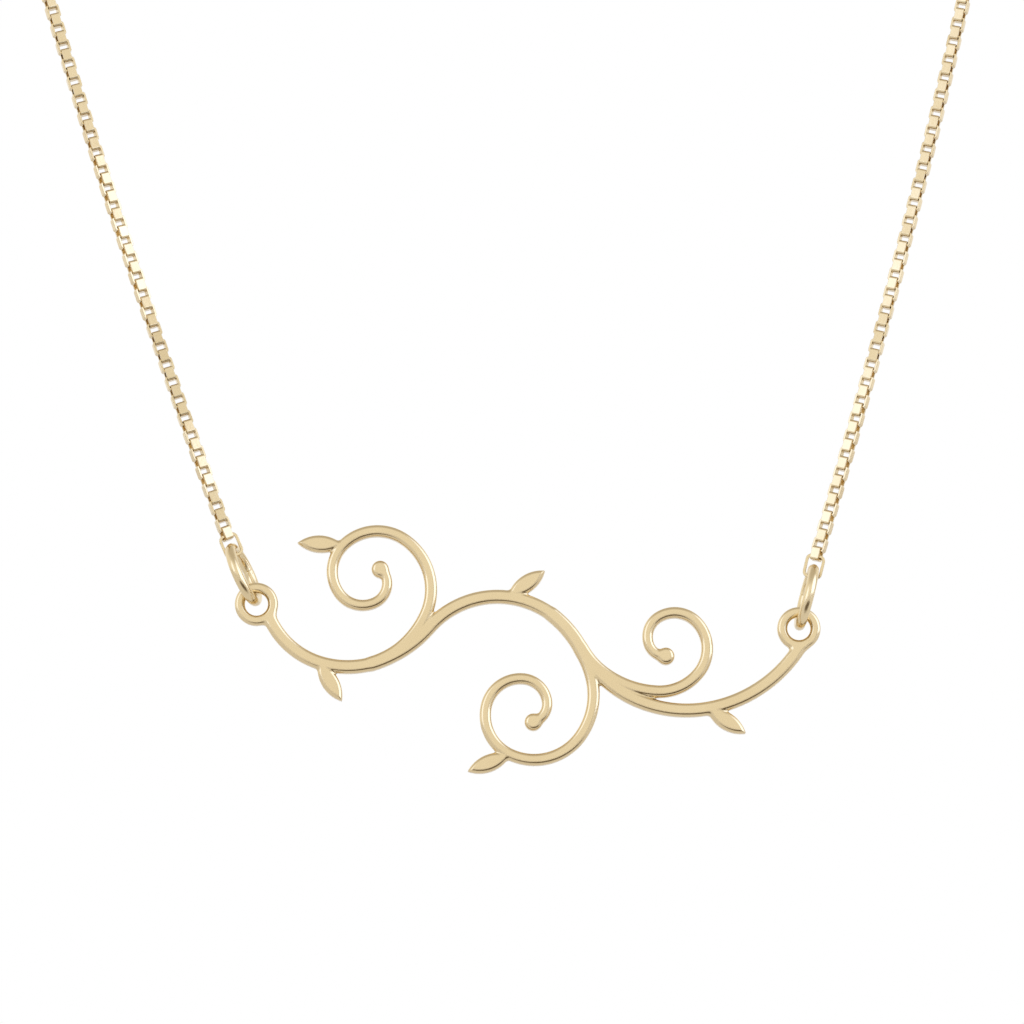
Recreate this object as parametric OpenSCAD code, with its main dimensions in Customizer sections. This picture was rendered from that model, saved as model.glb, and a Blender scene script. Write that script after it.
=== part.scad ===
// Nameplate necklace: a pierced flourish plate hung between two box chains, as it hangs round a neck.
// Units are millimetres. +Z is up, the plate's face looks along -Y, and +X is to the viewer's right.
// The origin is the nape, the middle of the closed clasp, where the necklace is carried.
// The whole necklace lies on one bent sheet: upright in front, then leaning back up to the nape.

/* [Nameplate] */
// Distance between the middles of the plate's two eyes
plate_w = 37.6; // [30:0.1:50]
// Thickness of the plate
plate_t = 1.0; // [0.7:0.05:1.4]
// Width of the main stem
stem_w = 0.95; // [0.7:0.05:1.2]
// Width of a scroll where it leaves the stem
scroll_w = 0.88; // [0.6:0.02:1.1]
// Width of a scroll beside its bead
tip_w = 0.7; // [0.5:0.02:0.9]
// Diameter of the bead that ends each scroll
bead_d = 1.2; // [1.1:0.05:1.8]
// Length of a leaf
leaf_l = 3.2; // [2:0.1:4.5]
// Width of a leaf at its middle
leaf_w = 1.2; // [0.9:0.05:1.8]
// Wire of the eyes soldered to the plate
eye_wire = 0.7; // [0.5:0.05:0.9]
// Diameter of the hole in an eye
eye_hole = 1.6; // [1.4:0.05:2.2]
// How far the right eye hangs below the left one, as an angle
plate_tilt = 2.6; // [-6:0.1:6]

/* [Jump rings and end links] */
// Outer diameter of a jump ring
ring_d = 4.74; // [4.2:0.02:6.5]
// Wire of a jump ring
ring_wire = 0.74; // [0.5:0.02:0.8]
// Swing of both jump rings to the viewer's left, past their chains' lines
ring_swing = 3; // [-5:0.1:5]
// Turn of the left jump ring away from edge-on
left_ring_turn = 12; // [0:1:30]
// Turn of the right jump ring away from edge-on
right_ring_turn = 3; // [0:1:30]
// Thickness of the strip that an end link is bent from
link_t = 0.2; // [0.12:0.01:0.24]
// Width of an end link's strip
link_w = 0.3; // [0.2:0.01:0.32]
// Length of the opening in an end link
link_hole_l = 1.3; // [1.3:0.02:2.2]
// Radius of the corners of the opening in an end link
link_corner_r = 0.2; // [0.1:0.01:0.22]
// Turn of an end link about the chain's line
link_turn = 6; // [3:1:9]

/* [Box chain] */
// Side of the square chain
chain_side = 0.92; // [0.8:0.01:1.4]
// Length that each box link adds to the chain
chain_pitch = 0.66; // [0.5:0.01:1.2]
// Thickness of the strip that the box links are bent from
strip_t = 0.15; // [0.1:0.01:0.22]
// Chamfer on the long edges of the chain's solid
chain_chamfer = 0.15; // [0.05:0.01:0.2]
// Roll of the chain about its own line, beside the plate
chain_roll = 21; // [0:1:40]

/* [Clasp] */
// Outer diameter of the spring ring
clasp_d = 6; // [5.4:0.1:9]
// Wire of the spring ring
clasp_wire = 1.1; // [0.8:0.05:1.2]
// Hole in the clasp's eye
clasp_eye_hole = 1.3; // [1.2:0.05:2]
// Wire of the clasp's eye
clasp_eye_wire = 0.55; // [0.4:0.05:0.7]
// Length of the clasp's thumb pin
thumb_l = 0.8; // [0.5:0.05:1.4]
// Diameter of the clasp's thumb pin
thumb_d = 0.55; // [0.4:0.05:0.7]
// Angle round the clasp from its eye to its thumb pin
thumb_angle = 60; // [30:1:120]
// Outer diameter of the loop between the left chain and the clasp
loop_d = 2.8; // [2.7:0.05:4]
// Outer diameter of the ring that the clasp closes on
end_ring_d = 3.3; // [3.2:0.05:5]
// Wire of the clasp's loop and of the end ring
small_wire = 0.6; // [0.5:0.02:0.66]

/* [Hanging form] */
// Rise from the plate to the nape, measured along the bent sheet
nape_rise = 175; // [150:1:230]
// Sideways shift of the nape from the plate's middle
nape_shift = -3.9; // [-10:0.1:10]
// Radius of the loop behind the neck
neck_r = 48; // [40:1:60]
// Radius of the nearly straight chain at each side
flank_r = 630; // [400:10:900]
// Height above the plate where the sheet begins to lean back
upright_h = 45; // [30:1:60]
// Radius of the sheet's bend
bend_r = 40; // [25:1:60]
// Angle by which the upper sheet leans back from upright
bend_angle = 60; // [30:1:75]

/* [Hidden] */

LEFT = -1;
RIGHT = 1;
ROUND = 48;
DEG = 180 / PI;
GOLD = [0.85, 0.74, 0.50];

// Clearance between two links that hang in each other
link_gap = 0.06;
// Clearance between the strips of two box links
strip_gap = 0.02;
// How much wider an end link's opening is than the widest wire or strip in it
link_play = 0.22;
// How far a box link's strip stays from the end of an end link's opening, clear of its round corners
strip_seat = 0.08;
// Clearance between a jump ring and the plate's eye
eye_gap = 0.16;
// Share of the clasp's eye wire that is outside the clasp
EYE_CLEAR = 1 / 3;

// Radii of the rings' wire centre lines
eye_r = (eye_hole + eye_wire) / 2;
ring_r = (ring_d - ring_wire) / 2;
clasp_r = (clasp_d - clasp_wire) / 2;
clasp_eye_r = (clasp_eye_hole + clasp_eye_wire) / 2;
loop_r = (loop_d - small_wire) / 2;
end_ring_r = (end_ring_d - small_wire) / 2;

// A box link is a square frame of strip, as wide as lets the next link's strip into it
strip_w = chain_side - 2 * strip_t - strip_gap;
box_link_l = chain_pitch + 2 * strip_t + strip_gap;
// An end link's opening lets the widest ring wire through, and the box link's strip too
link_hole_w = max(ring_wire, small_wire, strip_w) + link_play;

// Up the chain's line, from the middle of an eye
ring_seat = eye_hole / 2 - eye_gap - ring_wire / 2;
ring_top = ring_seat + 2 * ring_r;
// From the near side of the wire that an end link hangs on to the middle of the chain's first strip
link_reach = link_hole_l - link_gap - strip_seat - strip_t / 2;
chain_start = ring_top + link_reach - ring_wire / 2;

// Along the neck's loop, from the middle of the clasp
clasp_eye_at = clasp_d / 2 + clasp_eye_hole / 2 + EYE_CLEAR * clasp_eye_wire;
loop_near = clasp_eye_at + clasp_eye_hole / 2 - small_wire / 2 - link_gap;
loop_far = loop_near + 2 * loop_r;
end_ring_near = clasp_d / 2 - clasp_wire - small_wire / 2 - link_gap;
end_ring_far = end_ring_near + 2 * end_ring_r;
top_reach = link_reach - small_wire / 2;
left_chain_end = loop_far + top_reach;
right_chain_end = end_ring_far + top_reach;
// How far the solid chain starts past the middle of its last strip, clear of the end link
chain_inset = strip_t / 2 + strip_seat + link_t + link_gap;
CHAIN_RINGS = 38;

// The stem's arcs, one a row: radius as a share of plate_w, and turn in degrees, positive to the left.
// One more arc, worked out, brings the stem to the right eye.
STEM = [
    [0.149, 50], [0.170, 34], [0.213, 34],
    [0.165, -56], [0.170, -30], [0.186, -26],
    [0.207, 38], [0.229, 34],
];
STEM_HEADING = -66;
ARC_STEP = 6;
// The angle round each eye at which the stem meets it
STEM_START_ANGLE = -40;
STEM_END_ANGLE = -80;

// Each scroll's arcs, in the same form as the stem's
RISE = [[0.170, 46], [0.114, 80], [0.088, 80], [0.070, 80], [0.053, 80], [0.039, 80], [0.029, 40]];
DROP = [[0.229, -34], [0.133, -50], [0.104, -80], [0.080, -80], [0.064, -80], [0.048, -80], [0.035, -80]];
CURL = [[0.176, 54], [0.093, 54], [0.072, 80], [0.056, 80], [0.043, 80], [0.032, 70]];
// Where each scroll leaves the stem: after how many of its arcs, and the kick in its heading
SCROLLS = [[RISE, 2, 4], [DROP, 5, -4], [CURL, 6, 6]];
// Leaves on the stem: after how many arcs, and the kick in heading
STEM_LEAVES = [[1, -40], [4, 42], [8, -42]];
// Leaves on scrolls: which scroll, after how many of its arcs, and the kick in heading
SCROLL_LEAVES = [[0, 3, -48], [1, 3, 46]];

function ray(angle) = [cos(angle), sin(angle)];
function angle_of(v) = atan2(v[1], v[0]);

// A pose is [x, y, heading]. This one follows it by an arc of the given radius and turn.
function after_arc(pose, r, turn) =
    let (side = sign(turn), c = [pose[0], pose[1]] + side * r * ray(pose[2] + 90))
    let (p = c + side * r * ray(pose[2] + turn - 90))
    [p[0], p[1], pose[2] + turn];

// The pose after the first n rows of a stroke
function after_rows(pose, rows, n) =
    n == 0 ? pose
    : let (before = after_rows(pose, rows, n - 1))
      after_arc(before, rows[n - 1][0] * plate_w, rows[n - 1][1]);

// The row whose arc leaves a pose and ends at a point
function row_to(pose, target) =
    let (chord = target - [pose[0], pose[1]], half = angle_of(chord) - pose[2])
    [norm(chord) / (2 * sin(abs(half))) / plate_w, 2 * half];

stem_start = concat(eye_r * ray(STEM_START_ANGLE), [STEM_HEADING]);
stem_target = [plate_w, 0] + eye_r * ray(STEM_END_ANGLE);
stem_rows = concat(STEM, [row_to(after_rows(stem_start, STEM, len(STEM)), stem_target)]);

function scroll_start(scroll) =
    after_rows(stem_start, stem_rows, scroll[1]) + [0, 0, scroll[2]];

// The neck's loop is a circle, and each side's chain is a wide arc that runs into it without a kink.
// Places on the flat sheet are [u, v] from the middle between the plate's eyes.
neck_centre = [nape_shift, nape_rise - neck_r];
function eye_place(side) = side * plate_w / 2 * [cos(plate_tilt), -sin(plate_tilt)];

// The middle of the wide arc that starts at p on one side
function flank_centre(side, p) =
    let (to_neck = neck_centre - p, d = norm(to_neck))
    let (open = acos((flank_r^2 + d^2 - (flank_r - neck_r)^2) / (2 * flank_r * d)))
    p + flank_r * ray(angle_of(to_neck) + side * open);
function flank_heading(side, p) = angle_of(flank_centre(side, p) - p) - side * 90;

// The line of each side's rings, refined until it leaves the chain's line by the rings' swing alone
function line_heading(side, steps = 4) =
    steps == 0 ? flank_heading(side, eye_place(side))
    : ring_swing + flank_heading(side, eye_place(side) + chain_start * ray(line_heading(side, steps - 1)));

function chain_foot(side) = eye_place(side) + chain_start * ray(line_heading(side));
function flank_top(side) =
    let (toward = neck_centre - flank_centre(side, chain_foot(side)))
    neck_centre + neck_r * toward / norm(toward);
function flank_sweep(side) =
    let (c = flank_centre(side, chain_foot(side)))
    abs(angle_of(side * (flank_top(side) - c)) - angle_of(side * (chain_foot(side) - c)));
function flank_l(side) = flank_r * flank_sweep(side) / DEG;
function neck_sweep(side) =
    let (v = flank_top(side) - neck_centre)
    90 - angle_of([side * v[0], v[1]]);
function side_l(side) = flank_l(side) + neck_r * neck_sweep(side) / DEG;

// The place and heading on the flat sheet, a length l along a side's chain from its foot
function route(side, l) =
    let (foot = chain_foot(side), c = flank_centre(side, foot), low = flank_l(side))
    l <= low
        ? let (a = angle_of(foot - c) + side * l / flank_r * DEG, p = c + flank_r * ray(a))
          [p[0], p[1], a + side * 90]
        : let (a = angle_of(flank_top(side) - neck_centre) + side * (l - low) / neck_r * DEG)
          let (p = neck_centre + neck_r * ray(a))
          [p[0], p[1], a + side * 90];

// The sheet's lean at a height v on the flat sheet, and the point in space for a place [u, v]
function lean(v) = min(bend_angle, max(0, (v - upright_h) / bend_r * DEG));
function bent(v) =
    v < upright_h ? [0, v]
    : let (a = lean(v), rest = v - upright_h - bend_r * a / DEG)
      [bend_r * (1 - cos(a)) + rest * sin(a), upright_h + bend_r * sin(a) + rest * cos(a)];
nape_bent = bent(nape_rise);
function in_space(p) =
    [p[0] - nape_shift, bent(p[1])[0] - nape_bent[0], bent(p[1])[1] - nape_bent[1]];

// The local frame of the route: Z runs along the chain, X across it on the sheet, Y behind the sheet
module on_sheet(place, heading) {
    translate(in_space(place))
        rotate([-lean(place[1]), 0, 0])
            rotate([0, 90 - heading, 0])
                children();
}

// The line of rings beside the plate, a length up from the middle of the eye
module up_from_eye(side, l) {
    on_sheet(eye_place(side), line_heading(side))
        translate([0, 0, l])
            children();
}

// A place on the neck's loop, a length away from the clasp's middle. Z points away from the clasp.
module beside_clasp(side, l) {
    a = 90 - side * l / neck_r * DEG;
    on_sheet(neck_centre + neck_r * ray(a), a - side * 90)
        children();
}

// A closed ring of round wire about the Z axis
module ring(r, wire) {
    rotate_extrude($fn = ROUND)
        translate([r, 0])
            circle(d = wire, $fn = ROUND);
}

// A flat rectangle with round corners, standing on the X axis
module rounded(w, l, r) {
    translate([-w / 2, r])
        square([w, l - 2 * r]);
    translate([r - w / 2, 0])
        square([w - 2 * r, l]);
    for (side = [LEFT, RIGHT], y = [r, l - r])
        translate([side * (w / 2 - r), y])
            circle(r, $fn = ROUND);
}

// A soldered link bent from strip, in the XZ plane, its opening from z = 0 upwards
module strip_link() {
    rotate([90, 0, 0])
        linear_extrude(link_w, center = true)
            difference() {
                translate([0, -link_t])
                    rounded(link_hole_w + 2 * link_t, link_hole_l + 2 * link_t, link_corner_r + link_t);
                rounded(link_hole_w, link_hole_l, link_corner_r);
            }
}

// The poses along a stroke, close enough together that its edges look round
function traced(start, rows) = [
    for (i = [0:len(rows) - 1])
        let (n = ceil(abs(rows[i][1]) / ARC_STEP), from = after_rows(start, rows, i))
        for (k = [0:n - 1])
            after_arc(from, rows[i][0] * plate_w, rows[i][1] * k / n),
    after_rows(start, rows, len(rows))
];

// One edge of a stroke that narrows evenly from its start to its end
function stroke_edge(poses, side, from_w, to_w) =
    let (last = len(poses) - 1)
    [
        for (i = [0:last])
            let (half = (from_w + (to_w - from_w) * i / last) / 2)
            [poses[i][0], poses[i][1]] + side * half * ray(poses[i][2] + 90)
    ];
function reversed(list) = [for (i = [len(list) - 1:-1:0]) list[i]];

module stroke(start, rows, from_w, to_w) {
    poses = traced(start, rows);
    linear_extrude(plate_t, center = true)
        polygon(concat(stroke_edge(poses, LEFT, from_w, to_w), reversed(stroke_edge(poses, RIGHT, from_w, to_w))));
}

// A leaf between two arcs, from a pose, with its point ahead
module leaf(pose) {
    r = (leaf_l^2 + leaf_w^2) / (4 * leaf_w);
    translate([pose[0], pose[1], 0])
        rotate(pose[2])
            intersection_for(side = [LEFT, RIGHT])
                translate([leaf_l / 2, side * (r - leaf_w / 2), 0])
                    cylinder(r = r, h = plate_t, center = true, $fn = 4 * ROUND);
}

module flourish() {
    stroke(stem_start, stem_rows, stem_w, stem_w);
    for (scroll = SCROLLS) {
        end = after_rows(scroll_start(scroll), scroll[0], len(scroll[0]));
        stroke(scroll_start(scroll), scroll[0], scroll_w, tip_w);
        translate([end[0], end[1], 0])
            cylinder(d = bead_d, h = plate_t, center = true, $fn = ROUND);
    }
    for (row = STEM_LEAVES)
        leaf(after_rows(stem_start, stem_rows, row[0]) + [0, 0, row[1]]);
    for (row = SCROLL_LEAVES)
        leaf(after_rows(scroll_start(SCROLLS[row[0]]), SCROLLS[row[0]][0], row[1]) + [0, 0, row[2]]);
}

// The plate, drawn flat with the left eye at its origin. Its ends stop at the middle of the eyes' wire.
module flat_plate() {
    difference() {
        flourish();
        for (x = [0, plate_w])
            translate([x, 0, 0])
                cylinder(r = eye_r, h = 2 * plate_t, center = true, $fn = ROUND);
    }
    for (x = [0, plate_w])
        translate([x, 0, 0])
            ring(eye_r, eye_wire);
}

module nameplate() {
    color(GOLD)
        on_sheet(eye_place(LEFT), 90)
            rotate([0, plate_tilt, 0])
                rotate([90, 0, 0])
                    flat_plate();
}

// A jump ring stands nearly edge-on to the viewer, through the plate's eye
module jump_ring(side, turn) {
    color(GOLD)
        up_from_eye(side, ring_seat + ring_r)
            rotate([0, 90, turn])
                ring(ring_r, ring_wire);
}

module end_link(side) {
    color(GOLD)
        up_from_eye(side, ring_top - ring_wire / 2 - link_gap)
            rotate(-side * link_turn)
                strip_link();
}

module top_link(side, far) {
    color(GOLD)
        beside_clasp(side, far - small_wire / 2 - link_gap)
            strip_link();
}

// The frame that a chain ends in: a square box link, its near strip's middle at z = 0
module box_link() {
    translate([0, 0, box_link_l / 2 - strip_t / 2])
        rotate([90, 0, 90])
            linear_extrude(strip_w, center = true)
                difference() {
                    square([chain_side, box_link_l], center = true);
                    square([chain_side - 2 * strip_t, box_link_l - 2 * strip_t], center = true);
                }
}

// The eight corners of the chain's square outline, with its edges taken off
chain_outline = [
    for (quarter = [0:3], edge = [LEFT, RIGHT])
        let (h = chain_side / 2, along = edge * (h - chain_chamfer), c = cos(90 * quarter), s = sin(90 * quarter))
        [h * c - along * s, h * s + along * c]
];

function chain_l(side) = side_l(side) - (side == LEFT ? left_chain_end : right_chain_end);
function roll(side, share) = -side * chain_roll * (1 - share^2);

// One ring of the swept chain, a length l along the side
function chain_ring(side, l) =
    let (at = route(side, l), back = lean(at[1]), turn = roll(side, l / chain_l(side)))
    let (across = [sin(at[2]), -cos(at[2])], behind = [0, cos(back), -sin(back)])
    let (x = [across[0], across[1] * sin(back), across[1] * cos(back)], p = in_space([at[0], at[1]]))
    [
        for (c = chain_outline)
            let (a = c[0] * cos(turn) - c[1] * sin(turn), b = c[0] * sin(turn) + c[1] * cos(turn))
            p + a * x + b * behind
    ];

// A tube through rings of as many points each
module swept(rings) {
    n = len(rings[0]);
    last = len(rings) - 1;
    polyhedron(
        points = [for (r = rings) each r],
        faces = concat(
            [[for (i = [0:n - 1]) i]],
            [for (j = [0:last - 1], i = [0:n - 1])
                each [[j * n + i, (j + 1) * n + (i + 1) % n, j * n + (i + 1) % n],
                    [j * n + i, (j + 1) * n + i, (j + 1) * n + (i + 1) % n]]],
            [[for (i = [n - 1:-1:0]) last * n + i]]
        )
    );
}

module chain(side) {
    whole = chain_l(side);
    run = whole - 2 * chain_inset;
    end = route(side, whole);
    color(GOLD) {
        swept([for (i = [0:CHAIN_RINGS]) chain_ring(side, chain_inset + run * i / CHAIN_RINGS)]);
        up_from_eye(side, chain_start)
            rotate(roll(side, 0))
                box_link();
        on_sheet([end[0], end[1]], end[2] + 180)
            box_link();
    }
}

module clasp_loop() {
    color(GOLD)
        beside_clasp(LEFT, loop_near + loop_r)
            rotate([0, 90, 0])
                ring(loop_r, small_wire);
}

module end_ring() {
    color(GOLD)
        beside_clasp(RIGHT, end_ring_near + end_ring_r)
            rotate([0, 90, 0])
                ring(end_ring_r, small_wire);
}

// A closed spring ring with its fixed eye and its thumb pin
module clasp() {
    color(GOLD) {
        beside_clasp(LEFT, 0) {
            rotate([90, 0, 0])
                ring(clasp_r, clasp_wire);
            rotate([0, thumb_angle, 0])
                translate([0, 0, clasp_r])
                    cylinder(d = thumb_d, h = clasp_wire / 2 + thumb_l, $fn = ROUND);
        }
        beside_clasp(LEFT, clasp_eye_at)
            rotate([90, 0, 0])
                ring(clasp_eye_r, clasp_eye_wire);
    }
}

nameplate();
jump_ring(LEFT, -left_ring_turn);  // left_jump_ring
jump_ring(RIGHT, right_ring_turn);  // right_jump_ring
end_link(LEFT);  // left_end_link
end_link(RIGHT);  // right_end_link
chain(LEFT);  // left_chain
chain(RIGHT);  // right_chain
top_link(LEFT, loop_far);  // left_top_link
top_link(RIGHT, end_ring_far);  // right_top_link
clasp_loop();
clasp();
end_ring();
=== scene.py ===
"""Looks of the flourish necklace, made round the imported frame.

Shapes are worked out in millimetres from the same values as the solids, and meshes are in metres.
"""
import math

import bpy
import numpy as np
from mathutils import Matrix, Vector
from mathutils.geometry import delaunay_2d_cdt


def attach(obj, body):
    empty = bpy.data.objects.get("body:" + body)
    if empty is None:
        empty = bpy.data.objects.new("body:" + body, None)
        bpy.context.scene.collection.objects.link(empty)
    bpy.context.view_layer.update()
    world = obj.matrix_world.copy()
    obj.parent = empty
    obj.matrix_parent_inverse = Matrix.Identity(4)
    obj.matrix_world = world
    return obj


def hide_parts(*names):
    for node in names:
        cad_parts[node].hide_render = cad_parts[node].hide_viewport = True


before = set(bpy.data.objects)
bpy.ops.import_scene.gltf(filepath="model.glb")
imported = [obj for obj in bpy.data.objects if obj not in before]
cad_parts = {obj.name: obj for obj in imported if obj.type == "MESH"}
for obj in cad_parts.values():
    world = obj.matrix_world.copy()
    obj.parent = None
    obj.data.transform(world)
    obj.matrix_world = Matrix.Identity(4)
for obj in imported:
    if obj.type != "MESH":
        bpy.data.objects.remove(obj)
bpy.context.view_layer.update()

MM = 0.001
LEFT, RIGHT = -1, 1
DEG = 180 / math.pi

# Nameplate
PLATE_W = 37.6
PLATE_T = 1.0
STEM_W = 0.95
SCROLL_W = 0.88
TIP_W = 0.7
BEAD_D = 1.2
LEAF_L = 3.2
LEAF_W = 1.2
EYE_WIRE = 0.7
EYE_HOLE = 1.6
PLATE_TILT = 2.6

# Jump rings and end links
RING_D = 4.74
RING_WIRE = 0.74
RING_SWING = 3
RING_TURN = {LEFT: -12, RIGHT: 3}
LINK_T = 0.2
LINK_W = 0.3
LINK_HOLE_L = 1.3
LINK_HOLE_R = 0.2
LINK_TURN = 6

# Box chain
CHAIN_SIDE = 0.92
CHAIN_PITCH = 0.66
STRIP_T = 0.15
CHAIN_ROLL = 21
# How far the loose links turn back towards the front, as lengths along the chain and degrees
CHAIN_TWIST = {
    LEFT: [(0, 0), (1.5, 6), (3, 6), (4.5, 0), (7, 0), (9, 6), (12, 9), (15, 9), (18, 1), (23, -1), (28, 0),
           (31, 6), (36, 9), (39, 4), (50, 0)],
    RIGHT: [(0, 0), (1, 4), (2, 0), (12, -1), (15, 6), (18, 7), (21, 3), (24, 5), (34, 6), (40, 4), (50, 0)],
}

# Clasp
CLASP_D = 6
CLASP_WIRE = 1.1
CLASP_EYE_HOLE = 1.3
CLASP_EYE_WIRE = 0.55
THUMB_L = 0.8
THUMB_D = 0.55
THUMB_ANGLE = 60
LOOP_D = 2.8
END_RING_D = 3.3
SMALL_WIRE = 0.6

# Hanging form
NAPE_RISE = 175
NAPE_SHIFT = -3.9
NECK_R = 48
FLANK_R = 630
UPRIGHT_H = 45
BEND_R = 40
BEND_ANGLE = 60

LINK_GAP = 0.06
STRIP_GAP = 0.02
LINK_PLAY = 0.22
STRIP_SEAT = 0.08
EYE_GAP = 0.16
EYE_CLEAR = 1 / 3

EYE_R = (EYE_HOLE + EYE_WIRE) / 2
RING_R = (RING_D - RING_WIRE) / 2
CLASP_R = (CLASP_D - CLASP_WIRE) / 2
CLASP_EYE_R = (CLASP_EYE_HOLE + CLASP_EYE_WIRE) / 2
LOOP_R = (LOOP_D - SMALL_WIRE) / 2
END_RING_R = (END_RING_D - SMALL_WIRE) / 2

STRIP_W = CHAIN_SIDE - 2 * STRIP_T - STRIP_GAP
BOX_LINK_L = CHAIN_PITCH + 2 * STRIP_T + STRIP_GAP
LINK_HOLE_W = max(RING_WIRE, SMALL_WIRE, STRIP_W) + LINK_PLAY

RING_SEAT = EYE_HOLE / 2 - EYE_GAP - RING_WIRE / 2
RING_TOP = RING_SEAT + 2 * RING_R
LINK_REACH = LINK_HOLE_L - LINK_GAP - STRIP_SEAT - STRIP_T / 2
CHAIN_START = RING_TOP + LINK_REACH - RING_WIRE / 2

CLASP_EYE_AT = CLASP_D / 2 + CLASP_EYE_HOLE / 2 + EYE_CLEAR * CLASP_EYE_WIRE
LOOP_NEAR = CLASP_EYE_AT + CLASP_EYE_HOLE / 2 - SMALL_WIRE / 2 - LINK_GAP
LOOP_FAR = LOOP_NEAR + 2 * LOOP_R
END_RING_NEAR = CLASP_D / 2 - CLASP_WIRE - SMALL_WIRE / 2 - LINK_GAP
END_RING_FAR = END_RING_NEAR + 2 * END_RING_R
TOP_REACH = LINK_REACH - SMALL_WIRE / 2
CHAIN_END = {LEFT: LOOP_FAR + TOP_REACH, RIGHT: END_RING_FAR + TOP_REACH}
TOP_WIRE_AT = {LEFT: LOOP_FAR, RIGHT: END_RING_FAR}

# The flourish. Each arc is a radius as a share of PLATE_W, and a turn in degrees
STEM = [
    (0.149, 50), (0.170, 34), (0.213, 34),
    (0.165, -56), (0.170, -30), (0.186, -26),
    (0.207, 38), (0.229, 34),
]
STEM_HEADING = -66
STEM_START_ANGLE = -40
STEM_END_ANGLE = -80
RISE = [(0.170, 46), (0.114, 80), (0.088, 80), (0.070, 80), (0.053, 80), (0.039, 80), (0.029, 40)]
DROP = [(0.229, -34), (0.133, -50), (0.104, -80), (0.080, -80), (0.064, -80), (0.048, -80), (0.035, -80)]
CURL = [(0.176, 54), (0.093, 54), (0.072, 80), (0.056, 80), (0.043, 80), (0.032, 70)]
# A scroll's arcs, how many of the stem's arcs come before it, and its turn away from the stem
SCROLLS = [(RISE, 2, 4), (DROP, 5, -4), (CURL, 6, 6)]
# How many arcs come before a leaf, and its turn away from the stroke. On a scroll its number comes first
STEM_LEAVES = [(1, -40), (4, 42), (8, -42)]
SCROLL_LEAVES = [(0, 3, -48), (1, 3, 46)]


def ray(angle):
    return np.array([math.cos(angle / DEG), math.sin(angle / DEG)])


def angle_of(v):
    return math.atan2(v[1], v[0]) * DEG


# The hanging form: a flat sheet's places and headings, and the bent sheet in space

NECK_CENTRE = np.array([NAPE_SHIFT, NAPE_RISE - NECK_R])
HEADING_STEPS = 4


def eye_place(side):
    return side * PLATE_W / 2 * np.array([math.cos(PLATE_TILT / DEG), -math.sin(PLATE_TILT / DEG)])


def flank_centre(side, p):
    to_neck = NECK_CENTRE - p
    d = np.linalg.norm(to_neck)
    opening = math.acos((FLANK_R**2 + d**2 - (FLANK_R - NECK_R) ** 2) / (2 * FLANK_R * d)) * DEG
    return p + FLANK_R * ray(angle_of(to_neck) + side * opening)


def flank_heading(side, p):
    return angle_of(flank_centre(side, p) - p) - side * 90


def line_heading(side, steps=HEADING_STEPS):
    """The heading of a side's rings. The chain's foot depends on it in turn, so it is found in steps."""
    if steps == 0:
        return flank_heading(side, eye_place(side))
    foot = eye_place(side) + CHAIN_START * ray(line_heading(side, steps - 1))
    return RING_SWING + flank_heading(side, foot)


class Side:
    """One side's chain, from its foot over the flank and round the neck."""

    def __init__(self, side):
        self.side = side
        self.foot = eye_place(side) + CHAIN_START * ray(line_heading(side))
        self.centre = flank_centre(side, self.foot)
        toward = NECK_CENTRE - self.centre
        self.top = NECK_CENTRE + NECK_R * toward / np.linalg.norm(toward)
        sweep = abs(angle_of(side * (self.top - self.centre)) - angle_of(side * (self.foot - self.centre)))
        self.flank_l = FLANK_R * sweep / DEG
        v = self.top - NECK_CENTRE
        neck_sweep = 90 - angle_of((side * v[0], v[1]))
        self.chain_l = self.flank_l + NECK_R * neck_sweep / DEG - CHAIN_END[side]

    def route(self, length):
        """The place on the flat sheet, and the heading, a length along the chain."""
        if length <= self.flank_l:
            a = angle_of(self.foot - self.centre) + self.side * length / FLANK_R * DEG
            return self.centre + FLANK_R * ray(a), a + self.side * 90
        a = angle_of(self.top - NECK_CENTRE) + self.side * (length - self.flank_l) / NECK_R * DEG
        return NECK_CENTRE + NECK_R * ray(a), a + self.side * 90

    def roll(self, length):
        """How far the links there are turned about the chain, in degrees."""
        twist = np.interp(length, *zip(*CHAIN_TWIST[self.side]))
        return -self.side * (CHAIN_ROLL * (1 - (length / self.chain_l) ** 2) - twist)


def lean(v):
    """How far the bent sheet leans back at a height on the flat one, in degrees."""
    return min(BEND_ANGLE, max(0.0, (v - UPRIGHT_H) / BEND_R * DEG))


def bent(v):
    """How far back and how high the bent sheet has a height of the flat one."""
    if v < UPRIGHT_H:
        return np.array([0.0, v])
    a = lean(v) / DEG
    rest = v - UPRIGHT_H - BEND_R * a
    return np.array([
        BEND_R * (1 - math.cos(a)) + rest * math.sin(a),
        UPRIGHT_H + BEND_R * math.sin(a) + rest * math.cos(a),
    ])


NAPE_BENT = bent(NAPE_RISE)


def in_space(p):
    b = bent(p[1]) - NAPE_BENT
    return np.array([p[0] - NAPE_SHIFT, b[0], b[1]])


def turn(axis, angle):
    """A 4 x 4 turn about a main axis, in degrees."""
    c, s = math.cos(angle / DEG), math.sin(angle / DEG)
    i, j = [(1, 2), (2, 0), (0, 1)]["XYZ".index(axis)]
    m = np.eye(4)
    m[i, i] = m[j, j] = c
    m[j, i], m[i, j] = s, -s
    return m


def shift(x, y, z):
    m = np.eye(4)
    m[:3, 3] = x, y, z
    return m


def on_sheet(place, heading):
    return shift(*in_space(place)) @ turn("X", -lean(place[1])) @ turn("Y", 90 - heading)


def up_from_eye(side, length):
    return on_sheet(eye_place(side), line_heading(side)) @ shift(0, 0, length)


def beside_clasp(side, length):
    a = 90 - side * length / NECK_R * DEG
    return on_sheet(NECK_CENTRE + NECK_R * ray(a), a - side * 90)


def placed(points, m):
    return points @ m[:3, :3].T + m[:3, 3]


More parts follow.
